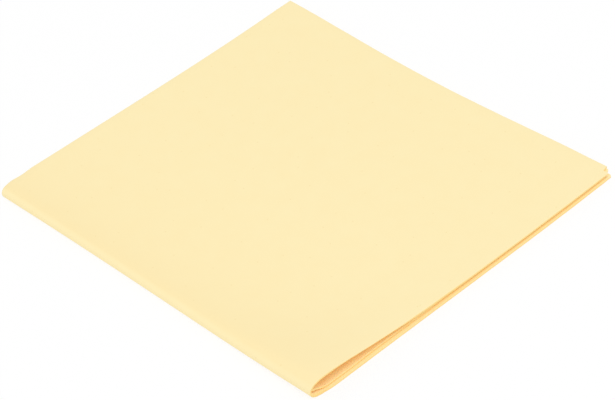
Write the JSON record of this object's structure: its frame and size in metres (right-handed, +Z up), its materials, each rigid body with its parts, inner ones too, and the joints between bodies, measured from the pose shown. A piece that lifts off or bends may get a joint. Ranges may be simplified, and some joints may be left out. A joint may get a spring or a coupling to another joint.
{
  "type": "window cleaning cloth",
  "caption": "Soft nonwoven window cleaning cloth, folded lengthwise and across into a flat pad; its upper half opens like a page about the round side fold.",
  "frame": {"origin": "middle of the underside of the folded cloth, on the surface it lies on", "axes": "+Z up; +Y from the cut front edge to the edge folds; +X from the side fold to the cut side edge"},
  "size_m": [0.175, 0.2, 0.0099],
  "materials": {
    "cloth": "matt, soft needle-punched viscose nonwoven, pale yellow"
  },
  "bodies": {
    "lower_half": {"bottom_quarter": "cloth", "lower_inner_quarter": "cloth", "outer_side_fold_lower": "cloth", "inner_side_fold_lower": "cloth", "lower_edge_fold": "cloth", "centre_fold_lower": "cloth"},
    "upper_half": {"top_quarter": "cloth", "upper_inner_quarter": "cloth", "outer_side_fold_upper": "cloth", "inner_side_fold_upper": "cloth", "upper_edge_fold": "cloth", "centre_fold_upper": "cloth"}
  },
  "joints": [
    {"name": "side_fold", "type": "hinge", "parent": "lower_half", "child": "upper_half", "pos_m": [-0.08765, 0, 0.0038], "axis": [0, -0.9999, 0.0115], "range_deg": [0, 180]}
  ]
}
